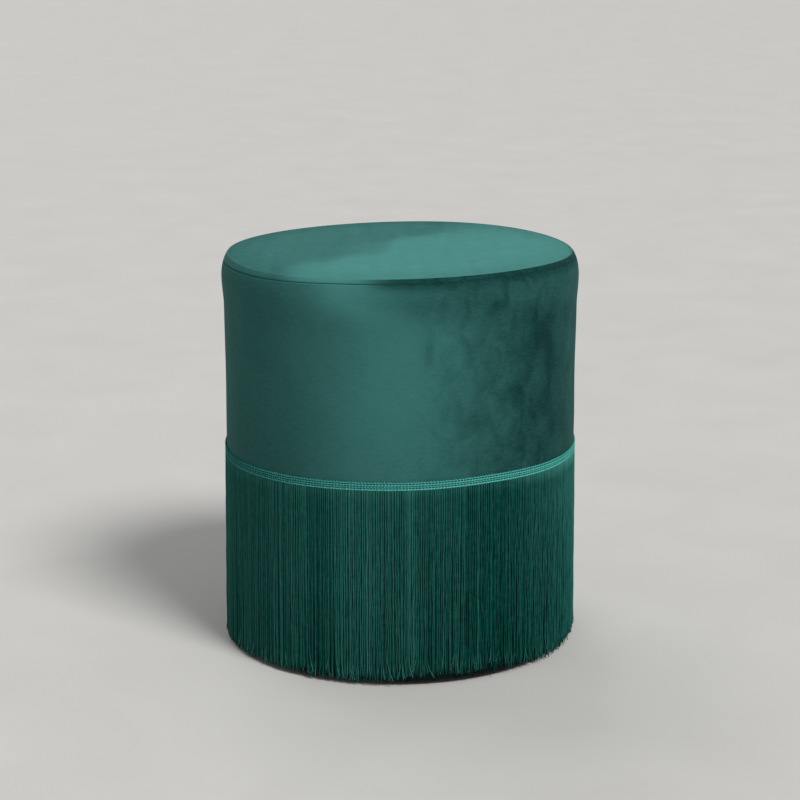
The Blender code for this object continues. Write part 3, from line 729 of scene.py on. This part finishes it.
def side_nap(angle, height):
    """Pile brushed into a light streak at the front that slants left under the rim, dark and pressed to the
    right of it and up again towards the side, with one more light streak at the back; darker just above the
    heading and at the hem as painted shade."""
    degrees = np.degrees(angle)
    strokes = ripple(angle, height, *STROKES)
    creases = ripple(angle, height, *CREASES)
    near_rim = smooth_step(height, *RIM_FROM)
    border = degrees + RIM_SHIFT * near_rim + strokes
    streak_width = STREAK_WIDTH - RIM_NARROWING * near_rim
    streak = (STREAK + RIM_STREAK * near_rim) * bell(border, STREAK_AT, streak_width)
    turned = between(border, TURNED_FROM, TURNED_TO)
    nap = SIDE_NAP + streak - SIDE_NAP_FALL * (1 - RIM_FALL * near_rim) * turned
    nap = nap + humps(border, SIDE_STREAK) + humps(degrees, BACK_STREAK)
    nap = nap + (STROKE_MARK + STROKE_MARK_TURNED * turned) * strokes
    nap = nap + (CREASE_MARK + CREASE_MARK_TURNED * turned) * creases
    for at, width, level, tall, depth in PRESSED:
        nap = nap - depth * bell(degrees, at, width) * bell(height, level, tall)
    low = LOW_NAP + (1 - LOW_NAP) * smooth_step(height, *LOW_NAP_TO)
    # painted shade: less nap just above the heading and none at the hem
    return nap * low * smooth_step(height, *HEM_SHADE_TO)


def side_crush(angle):
    """How crushed the side's pile is: little at the left, fully just right of the front, some further on and
    behind."""
    degrees = np.degrees(angle)
    right = between(degrees, CRUSHED_FROM, BEHIND_FROM)
    right = right * (1 - CRUSHED_EASING * smooth_step(degrees, *CRUSHED_EASING_FROM))
    back = smooth_step(np.abs(degrees), *BEHIND_FROM)
    return CRUSHED_LEFT + (CRUSHED_RIGHT - CRUSHED_LEFT) * right + (CRUSHED_BACK - CRUSHED_LEFT) * back


def seat_nap(x, y):
    """A soft border across the seat: lighter on its right and front side, darker towards the back left, with
    drag marks from front to back, one pressed place at the back and a darker edge at the front right."""
    right, back = x / BODY_RADIUS, y / BODY_RADIUS
    across = BORDER_ACROSS[0] * (right - BORDER_AT[0]) + BORDER_ACROSS[1] * (back - BORDER_AT[1])
    across = across + waves(back, BORDER_WAVES_BACK) + waves(right, BORDER_WAVES_RIGHT)
    before = smooth_step(across, *BORDER_FROM) * (1 - SEAT_BACK_FALL * smooth_step(back, *SEAT_BACK_FROM))
    brushed = SEAT_NAP[0] + (SEAT_NAP[1] - SEAT_NAP[0]) * before
    drags = 0.0
    for rate in SEAT_DRAG_RATES:
        bend = SEAT_DRAG_BEND * np.sin(SEAT_DRAG_BENDS * back + rate)
        drags = drags + np.sin(rate * right + bend + rate)
    place, width, behind, length, depth = SEAT_PRESSED
    pressed = depth * bell(right, place, width) * bell(back, behind, length)
    edge_fall = SEAT_EDGE_FALL + humps(np.degrees(np.arctan2(x, -y)), SEAT_EDGE_FALLS)
    at_edge = smooth_step(np.hypot(x, y), SEAT_EDGE_FROM, SEAT_EDGE)
    return brushed + SEAT_DRAG * drags - pressed - edge_fall * at_edge


def build_velvet_side():
    """The strip sewn round the drum: its outline turned about the axis, pressed in along the stitches, with a
    low unevenness, a rise of the rolled edge on the left and the closing seam at the back."""
    drum = drum_outline()
    outline = np.concatenate([drum, SHOULDER, LIP])
    first, last = len(drum), len(drum) + len(SHOULDER)
    even = np.linspace(-np.pi, np.pi, SIDE_STEPS, endpoint=False)
    near_seam = BACK_SEAM_STEPS * BACK_SEAM_WIDTH / BODY_RADIUS % (2 * np.pi) - np.pi
    angle = np.unique(np.round(np.concatenate([even, near_seam]), ANGLE_DIGITS))[:, None]
    degrees = np.degrees(angle)
    radius, height = (np.repeat(values[None], len(angle), axis=0) for values in outline.T)
    nap = side_nap(angle, height)

    above_stitches = stitch_drop(angle) - TO_RIM
    groove = STITCH_GROOVE * np.exp(-((above_stitches / STITCH_GROOVE_WIDTH) ** 2))
    from_seam = ((angle + 2 * np.pi) % (2 * np.pi) - np.pi) * BODY_RADIUS
    seam = BACK_SEAM_DEPTH * np.exp(-((from_seam / BACK_SEAM_WIDTH) ** 2))
    seam = seam * smooth_step(height, *BACK_SEAM_FROM)
    uneven = SIDE_UNEVENNESS * between(height, SIDE_UNEVEN_FROM, SIDE_UNEVEN_TO)
    radius += uneven * ripple(angle, height, *SIDE_RIPPLE) - seam
    height += humps(degrees, LIP_RISE) * smooth_step(height, RIM - LIP_RISE_DEPTH, RIM)
    radius[:, first:last] -= groove * SHOULDER_NORMALS[:, 0]
    height[:, first:last] -= groove * SHOULDER_NORMALS[:, 1]
    points = settle(around(radius, angle, height))

    top_nap = seat_nap(points[..., 0], points[..., 1])
    # painted shade under the rim, right of the front
    shaded = between(degrees, RIM_SHADE_FROM, BEHIND_FROM) * smooth_step(above_stitches, *RIM_SHADE_REACH)
    nap[:, first:last] *= 1 - RIM_SHADE * shaded
    brushed = between(-degrees, BRUSHED_FROM, BRUSHED_TO) * smooth_step(above_stitches, *BRUSHED_REACH)
    nap[:, first:last] += (top_nap[:, first:last] - nap[:, first:last]) * brushed
    on_lip = smooth_step(np.arange(last, len(outline)), last, last + LIP_BLEND)
    edge_nap = nap[:, last - 1 : last]
    # painted highlight on the rolled edge at the left
    nap[:, last:] = edge_nap + (top_nap[:, last:] + humps(degrees, LIP_PAINTED_HIGHLIGHT) - edge_nap) * on_lip
    looks = {
        "nap": nap,
        "crushed": np.broadcast_to(side_crush(angle), nap.shape),
        # painted shade on the lowest pile, by the floor
        "painted_hem_shade": HEM_PAINTED_SHADE * (1 - smooth_step(height, *HEM_PAINTED_SHADE_TO)),
    }
    faces = grid_faces(closed_round(numbers(*nap.shape)))
    piece = add_piece("velvet_side", points, faces, "velvet", **looks)
    solidify(piece, VELVET)
    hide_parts("velvet_side_panel")
    return piece, path_length(outline)


def build_velvet_seat():
    """The seat panel: a square grid bent into a disc, each row and column an arc of an ellipse, crowned as a
    cube of the radius, then folded down into the seam round its edge."""
    share = np.linspace(-1, 1, SEAT_GRID)
    column, row = np.meshgrid(share, share)
    x = SEAT_EDGE * column * np.sqrt(1 - row**2 / 2)
    y = SEAT_EDGE * row * np.sqrt(1 - column**2 / 2)
    radius = np.hypot(x, y)
    fall = crown_fall(radius, SEAT_EDGE) * (1 - SEAT_PUFF / CROWN)
    uneven = SEAT_UNEVENNESS * ripple(x * SEAT_RIPPLE_RATE, y, *SEAT_RIPPLE)
    uneven = uneven * smooth_step(SEAT_EDGE - radius, 0, SEAT_EVEN_EDGE)
    disc = np.stack([x, y, HEIGHT - SEAT_PUFF - fall + uneven], axis=-1).reshape(-1, 3)
    index = numbers(SEAT_GRID, SEAT_GRID)
    border = np.concatenate([index[0, :-1], index[:-1, -1], index[-1, :0:-1], index[:0:-1, 0]])
    fold = arc((SEAT_EDGE, RIM - SEAT_FOLD), SEAT_FOLD, 90, SEAT_FOLD_END, SEAT_FOLD_STEPS)[1:]
    rings = np.concatenate([fold, fold[-1] + np.array(SEAT_ALLOWANCE)])
    turn = np.arctan2(disc[border, 0], -disc[border, 1])
    skirt = around(rings[:, :1], turn[None], rings[:, 1:])
    loops = np.concatenate([border[None], len(disc) + numbers(*skirt.shape[:2])])
    loops = np.concatenate([loops, loops[:, :1]], axis=1)
    faces = grid_faces(index.T) + grid_faces(loops.T[:, ::-1])
    points = settle(np.concatenate([disc, skirt.reshape(-1, 3)]))
    nap = seat_nap(points[:, 0], points[:, 1])
    crushed = np.full(len(points), CRUSHED_SEAT)
    piece = add_piece("velvet_seat", points, faces, "velvet", nap=nap, crushed=crushed)
    puff_up(piece, np.concatenate([border, np.arange(len(disc), len(points))]))
    subdivide(piece)
    solidify(piece, VELVET)
    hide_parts("velvet_top_panel")
    return piece, SEAT_EDGE + path_length(rings)


def puff_up(piece, held):
    """Cloth under gentle pressure, held along its seam. Its rise is eased to stay under SEAT_PUFF."""
    scene = bpy.context.scene
    group = piece.vertex_groups.new(name="held")
    group.add(held.tolist(), 1.0, "REPLACE")
    cloth = piece.modifiers.new("padding_pressure", "CLOTH")
    cloth.settings.vertex_group_mass = group.name
    cloth.settings.use_pressure = True
    cloth.settings.uniform_pressure_force = PUFF_PRESSURE
    cloth.settings.effector_weights.gravity = 0.0
    cloth.collision_settings.use_collision = False
    cloth.point_cache.frame_end = PUFF_FRAMES
    for number in range(1, PUFF_FRAMES + 1):
        scene.frame_set(number)
    rest = np.empty(len(piece.data.vertices) * 3)
    moved = np.empty_like(rest)
    piece.data.vertices.foreach_get("co", rest)
    swollen = piece.evaluated_get(bpy.context.evaluated_depsgraph_get())
    swollen.data.vertices.foreach_get("co", moved)
    piece.modifiers.remove(cloth)
    piece.vertex_groups.remove(group)
    shift = (moved - rest).reshape(-1, 3)
    far = np.linalg.norm(shift, axis=1, keepdims=True) + LEAST_RISE
    eased = shift / far * SEAT_PUFF * np.tanh(far / SEAT_PUFF)
    piece.data.vertices.foreach_set("co", rest + eased.ravel())
    piece.data.update()
    scene.frame_set(1)


def build_stitches():
    """Short stitches in the groove, each an arc of the ring that dips to both ends as a square."""
    count = round(2 * np.pi * FULLEST_RADIUS / STITCH_PITCH)
    share = np.linspace(-1, 1, STITCH_RINGS)[None]
    middle = 2 * np.pi * np.arange(count)[:, None] / count - np.pi
    angle = middle + share * 0.5 * STITCH_LENGTH / FULLEST_RADIUS
    drop = stitch_drop(angle)
    radius, height, out, up = (
        np.interp(drop, TO_RIM[::-1], values[::-1]) for values in (*SHOULDER.T, *SHOULDER_NORMALS.T)
    )
    lift = STITCH_RADIUS - STITCH_GROOVE - STITCH_SINK * share**2
    paths = settle(around(radius + lift * out, angle, height + lift * up))
    points = tubes(paths, STITCH_RADIUS, STITCH_SIDES, around(out, angle, up))
    shade = np.broadcast_to(rng.uniform(*STITCH_SHADES, (count, 1, 1)), points.shape[:3])
    faces = tube_faces(count, STITCH_RINGS, STITCH_SIDES)
    piece = add_piece("rim_stitches", points, faces, "sewing_thread", shade=shade)
    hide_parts("top_stitch")
    return piece


# Padding


def build_pad(node, slot, outline, ring=False):
    """An outline turned about the axis, drawn in by a low ripple. A ring's outline closes on itself."""
    angle = np.linspace(-np.pi, np.pi, PAD_STEPS, endpoint=False)[:, None]
    radius, height = outline[None, :, 0], outline[None, :, 1]
    drawn_in = PAD_UNEVENNESS * (1 + ripple(angle, height, *PAD_RIPPLE))
    drawn_in = drawn_in * smooth_step(radius, *PAD_UNEVEN_FROM)
    points = settle(around(radius - np.maximum(drawn_in, 0), angle, height))
    index = closed_round(numbers(PAD_STEPS, len(outline)))
    if ring:
        faces = grid_faces(np.concatenate([index, index[:, :1]], axis=1))
    else:
        faces = [*grid_faces(index), index[:0:-1, 0].tolist(), index[:-1, -1].tolist()]
    piece = add_piece(f"{node}_pad", points, faces, slot)
    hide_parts(node)


def build_padding():
    """The seat's foam block, the wadding over it and the thin foam round the drum."""
    low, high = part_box("seat_foam")
    wide = FULLEST_RADIUS - FOAM_INSET
    corner = arc((wide - PAD_CORNER, low.z + PAD_CORNER), PAD_CORNER, -90, 0, FOAM_CORNER_STEPS)
    edge = arc((wide - FOAM_ROUND[0], high.z - FOAM_ROUND[1]), FOAM_ROUND, 0, 90, FOAM_ROUND_STEPS)
    top = [(CROWN_FLAT_RADIUS, high.z), (PAD_AXIS, high.z)]
    foam = np.concatenate([[(PAD_AXIS, low.z)], corner, edge, top])
    foam[:, 1] -= crown_fall(foam[:, 0], SEAT_EDGE) * (foam[:, 1] - low.z) / (high.z - low.z)
    build_pad("seat_foam", "foam", foam)

    low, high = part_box("seat_wadding")
    thick = high.z - low.z - CROWN
    reach = np.linspace(PAD_AXIS, high.x - thick / 2, WADDING_STEPS)
    level = high.z - crown_fall(reach, SEAT_EDGE)
    edge = arc((reach[-1], level[-1] - thick / 2), thick / 2, -90, 90, WADDING_EDGE_STEPS)[1:-1]
    under, over = np.stack([reach, level - thick], axis=1), np.stack([reach, level], axis=1)
    build_pad("seat_wadding", "wadding", np.concatenate([under, edge, over[::-1]]))

    low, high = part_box("side_foam")
    inside, outside = (BODY_RADIUS - VELVET - depth for depth in SIDE_FOAM_FACES)
    places = ((outside, low.z), (outside, high.z), (inside, high.z), (inside, low.z))
    turns = ((-90, -1, 1), (0, -1, -1), (90, 1, -1), (180, 1, 1))
    corners = []
    for (radius, height), (start, across, up) in zip(places, turns):
        middle = (radius + across * PAD_CORNER, height + up * PAD_CORNER)
        corners.append(arc(middle, PAD_CORNER, start, start + 90, SIDE_FOAM_CORNER_STEPS))
    build_pad("side_foam", "foam", np.concatenate(corners), ring=True)


# Braided heading


def heading_drift(angle):
    """How far the heading wanders up or down, and leans out at its upper edge: it was sewn on a little low at
    the left and a little high right of the front, with slow waves between."""
    degrees = np.degrees(angle)
    return waves(angle, HEADING_WAVES) + humps(degrees, HEADING_DRIFT), humps(degrees, HEADING_LEAN)


def build_heading():
    """Rows of two-strand cord: each strand is a helix about a circle, half a twist from its neighbour."""
    middle = BODY_RADIUS + HEADING_OUT
    twists = round(2 * np.pi * middle / CORD_LAY)
    angle = np.linspace(-np.pi, np.pi, twists * CORD_STEPS, endpoint=False)[None]
    row = np.repeat(np.arange(HEADING_ROWS), CORD_STRANDS)[:, None]
    strand = np.tile(np.arange(CORD_STRANDS), HEADING_ROWS)[:, None]
    phase = twists * angle * np.where(row % 2, -1, 1) + 2 * np.pi * strand / CORD_STRANDS
    rise, lean = heading_drift(angle)
    share = (row + 0.5) / HEADING_ROWS
    radius = middle + lean * share + STRAND_OFFSET * np.cos(phase)
    level = HEADING_LOW.z + share * (HEADING_HIGH.z - HEADING_LOW.z)
    paths = around(radius, angle, level + rise + STRAND_OFFSET * np.sin(phase))
    outward = around(np.cos(phase), angle, np.sin(phase))
    points = tubes(paths, STRAND_RADIUS, CORD_SIDES, outward, closed=True)
    # FACING_SHADE: painted light on the strands' outer sides, painted shade on their inner sides
    shade = CORD_SHADE + STRAND_SHADE * strand + LOWEST_ROW_SHADE * (row == 0) + FACING_SHADE * np.cos(phase)
    # painted light and shade along the heading
    shade = shade + humps(np.degrees(angle), HEADING_PAINTED_LIGHT)
    shade = np.broadcast_to(shade[:, :, None], points.shape[:3])
    faces = tube_faces(*points.shape[:3], closed=True)
    piece = add_piece("heading_braid", points, faces, "braid_yarn", shade=shade)
    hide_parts("fringe_heading")
    return piece


def build_yarn_ends():
    """Ends of yarn along the heading's upper edge: short arcs that rise from its top row and lean out."""
    middle = BODY_RADIUS + HEADING_OUT
    root = 2 * STRAND_RADIUS
    count = round(2 * np.pi * middle / YARN_END_PITCH)
    jitter = rng.uniform(-YARN_END_JITTER, YARN_END_JITTER, count)
    angle = 2 * np.pi * (np.arange(count) + jitter)[:, None] / count
    share = np.linspace(0, 1, YARN_END_RINGS)[None]
    rise, lean = heading_drift(angle)
    tall = YARN_END_HEIGHT * rng.uniform(*YARN_END_HEIGHTS, (count, 1))
    tall = tall * (YARN_END_SHORTER + humps(np.degrees(angle), YARN_END_TALLER))
    sideways = rng.normal(0, YARN_END_LEAN, (count, 1)) / middle
    height = HEADING_HIGH.z - root + rise + share * (tall + root)
    paths = around(middle + lean + YARN_END_OUT * share**2, angle + sideways * share, height)
    outward = around(1.0, angle + 0 * share, 0.0)
    points = tubes(paths, YARN_END_RADIUS * (1 - YARN_END_TAPER * share), YARN_END_SIDES, outward)
    shade = np.broadcast_to(rng.uniform(*YARN_END_SHADES, (count, 1, 1)), points.shape[:3])
    faces = tube_faces(count, YARN_END_RINGS, YARN_END_SIDES)
    return add_piece("heading_yarn_ends", points, faces, "braid_yarn", shade=shade)


# Fringe


def thread_layer(count, root, end, base_shade):
    """Paths, radii and shades of one layer: each thread falls straight from its root, drifts with its clump,
    leans and waves a little, and splays or curls at its cut end. The ends are nearly level, higher right of
    the front and lower at the left, with slow waves."""
    one_each = (count, 1)
    jitter = rng.uniform(-THREAD_JITTER, THREAD_JITTER, count)
    angle = 2 * np.pi * (np.arange(count) + jitter)[:, None] / count
    degrees = np.degrees(angle)
    share = np.array(THREAD_SHARES)[None]
    tip = smooth_step(share, *TIP_FROM)
    clump = ripple(angle, 0.0, *CLUMP_RIPPLE)
    lean = rng.normal(0, LEAN, one_each) + CLUMP * clump
    phase = rng.uniform(0, 2 * np.pi, one_each)
    wave = WAVE * np.sin(2 * np.pi * rng.uniform(*WAVES, one_each) * share + phase)
    start = rng.uniform(0, 2 * np.pi, one_each)
    kink = KINK * np.sin(2 * np.pi * rng.uniform(*KINKS, one_each) * share + start)
    bends = wave * share + kink * smooth_step(share, *KINK_FROM)
    curled = rng.uniform(size=one_each) < CURLED_SHARE
    splay = rng.normal(0, SPLAY, one_each) + np.where(curled, rng.normal(0, CURL, one_each), 0)
    sideways = lean * share**LEAN_CURVE + bends + splay * tip
    depth = rng.normal(0, DEPTH, one_each) + DEPTH * ripple(angle, 0.0, *DEPTH_RIPPLE)
    out = root + (end - root + depth) * share**OUT_CURVE + KINK_OUT * bends + SPLAY_OUT * np.abs(splay) * tip
    low = END_HEIGHT + humps(degrees, END_UNEVENNESS) + waves(angle, END_WAVES)
    low = low + rng.normal(0, END_SPREAD, one_each) + END_CLUMP * clump
    top = HEADING_LOW.z + ROOT_ABOVE + heading_drift(angle)[0]
    height = top + (np.maximum(low, LOWEST_END) - top) * share
    paths = around(BODY_RADIUS + np.maximum(out, root), angle + sideways / BODY_RADIUS, height)
    width = THREAD_RADIUS * rng.uniform(*THREAD_RADII, one_each) * (1 - THREAD_TAPER * tip)

    patch = SHADE_PATCH * ripple(angle, 0.0, *PATCH_RIPPLE) + humps(degrees, PATCHES)
    shade = base_shade + rng.normal(0, SHADE_SPREAD, one_each) + SHADE_CLUMP * clump + patch
    shade = shade + BRIGHT_SHADE * (rng.uniform(size=one_each) < BRIGHT_SHARE)
    shade = shade + np.where(curled, CURLED_TIP_SHADE, TIP_SHADE) * tip
    # lighter roots, and painted light on the upper threads at the right
    shade = shade + ROOT_SHADE * (1 + humps(degrees, ROOT_SHADES)) * (1 - smooth_step(share, *ROOT_SHADE_TO))
    shade = shade + humps(degrees, UPPER_SHADE) * (1 - smooth_step(share, *UPPER_SHADE_TO))
    shade = shade + END_SHADE * smooth_step(share, *END_SHADE_FROM)
    return paths, width, np.clip(shade, 0, 1)


def build_fringe():
    """The fringe's threads as five-sided tubes, one piece for each layer."""
    pieces = []
    for name, layer in LAYERS.items():
        paths, width, shade = thread_layer(*layer)
        outward = paths * np.array([1.0, 1.0, 0.0])
        outward = outward / np.linalg.norm(outward, axis=2, keepdims=True)
        points = tubes(paths, width, THREAD_SIDES, outward)
        shade = np.broadcast_to(shade[:, :, None], points.shape[:3])
        faces = tube_faces(*points.shape[:3])
        pieces.append(add_piece(name, points, faces, "fringe_yarn", shade=shade))
    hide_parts("fringe_threads")
    return pieces


# Cloth under the base


def build_base_cloth():
    """A disc of cloth: it sags to its middle as a square of the radius, and puckers between its staples."""
    edge = CLOTH_HIGH.x
    radius = np.linspace(PAD_AXIS, edge, CLOTH_RINGS)[None]
    angle = np.linspace(-np.pi, np.pi, CLOTH_STEPS, endpoint=False)[:, None]
    share = radius / edge
    pucker = CLOTH_PUCKER * np.abs(np.sin(CLOTH_STAPLES / 2 * angle)) * between(share, PUCKER_FROM, PUCKER_TO)
    height = CLOTH_HIGH.z - CLOTH_SAG * (1 - share**2) - pucker
    index = closed_round(numbers(CLOTH_STEPS, CLOTH_RINGS))
    faces = [*grid_faces(index[:, ::-1]), index[:-1, 0].tolist()]
    piece = add_piece("base_cloth", around(radius, angle, height), faces, "dust_cloth")
    solidify(piece, CLOTH_HIGH.z - CLOTH_LOW.z)
    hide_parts("dust_cover")
    return piece, edge


# Floor, light and camera


def build_stage():
    """A pale floor, two broad soft lamps from afar and an even sky."""
    half = FLOOR_SIZE / 2
    corners = [(-half, -half, 0), (half, -half, 0), (half, half, 0), (-half, half, 0)]
    mesh = bpy.data.meshes.new("floor")
    mesh.from_pydata(corners, [], [(0, 1, 2, 3)])
    # smooth pale vinyl: nearly flat in colour, with a faint clouding
    mesh.materials.append(mottled("pale_vinyl_floor", "d2d0cc", "d6d4d0", 160, (0.6, 0.7), 0.02))
    floor = bpy.data.objects.new("floor", mesh)
    bpy.context.scene.collection.objects.link(floor)
    for name, (right, up, strength, softness) in LAMPS.items():
        lamp = bpy.data.lights.new(name, "SUN")
        lamp.energy = strength
        lamp.angle = math.radians(softness)
        light = bpy.data.objects.new(name, lamp)
        raised = math.radians(up)
        towards = Vector(around(math.cos(raised), math.radians(right), math.sin(raised)))
        light.location = LAMP_DISTANCE * towards
        light.rotation_euler = towards.to_track_quat("Z", "Y").to_euler()
        bpy.context.scene.collection.objects.link(light)
    world = bpy.data.worlds.new("soft_studio")
    world.use_nodes = True
    tree = world.node_tree
    sky = add_node(tree, "ShaderNodeBackground", {"Color": linear(SKY), "Strength": WORLD_STRENGTH})
    backdrop = add_node(tree, "ShaderNodeBackground", {"Color": linear(BACKDROP)})
    seen = add_node(tree, "ShaderNodeLightPath").outputs["Is Camera Ray"]
    shown = add_node(tree, "ShaderNodeMixShader", {0: seen, 1: sky.outputs[0], 2: backdrop.outputs[0]})
    tree.links.new(shown.outputs[0], tree.nodes["World Output"].inputs["Surface"])
    bpy.context.scene.world = world


def build_camera():
    camera = bpy.data.objects.new("camera", bpy.data.cameras.new("camera"))
    camera.data.lens = CAMERA_LENS
    tilt = Matrix.Rotation(math.radians(90 - CAMERA_PITCH), 4, "X")
    camera.matrix_world = Matrix.Translation(CAMERA_PLACE) @ tilt
    bpy.context.scene.collection.objects.link(camera)
    bpy.context.scene.camera = camera


build_camera()
build_stage()
velvet_side, side_cut = build_velvet_side()
velvet_seat, seat_cut = build_velvet_seat()
trimmings = [build_stitches(), build_heading(), build_yarn_ends(), *build_fringe()]
base_cloth, cloth_cut = build_base_cloth()
build_padding()
bpy.context.scene.view_settings.view_transform = "Standard"
